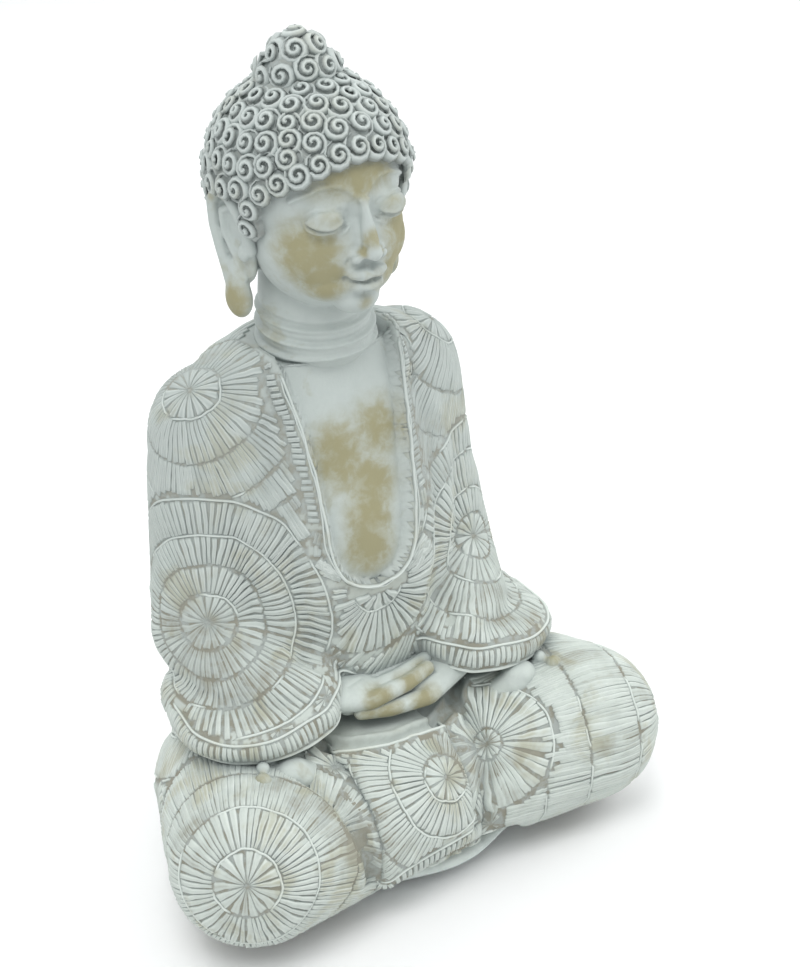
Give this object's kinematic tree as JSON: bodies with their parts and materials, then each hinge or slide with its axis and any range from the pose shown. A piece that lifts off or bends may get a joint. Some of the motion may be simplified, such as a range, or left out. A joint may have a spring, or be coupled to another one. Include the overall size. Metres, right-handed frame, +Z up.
{
  "type": "seated meditating statue",
  "caption": "Seated meditating figure with a curled hair cap, long ear lobes, an open robe and stacked hands, hollow cast in bonded sections on a closed base with felt pads.",
  "frame": {"origin": "on the table, under the middle of the figure's outline", "axes": "+Z up, the figure faces -Y, its own right side is at -X"},
  "size_m": [0.2694, 0.1837, 0.407],
  "materials": {
    "robe": "matt whitewash over an ochre cast, grey in the recesses and brown in the carved grooves",
    "skin": "matt whitewash worn through to ochre on the high places",
    "hair": "matt whitewash with grey-brown recesses",
    "slab": "plain matt whitewash",
    "base_plate": "plain fibreboard",
    "felt": "dark felt"
  },
  "bodies": {
    "root": {"trunk": "robe", "chest_panel": "skin", "right_arm": "robe", "left_arm": "robe", "right_cuff": "robe", "left_cuff": "robe", "right_leg": "robe", "left_leg": "robe", "right_foot": "skin", "left_foot": "skin", "lap_cloth": "robe", "right_hand": "skin", "left_hand": "skin", "head": "skin", "hair": "hair", "right_ear": "skin", "left_ear": "skin", "foot_slab": "slab", "base_plate": "base_plate", "felt_pads": "felt"}
  },
  "joints": []
}
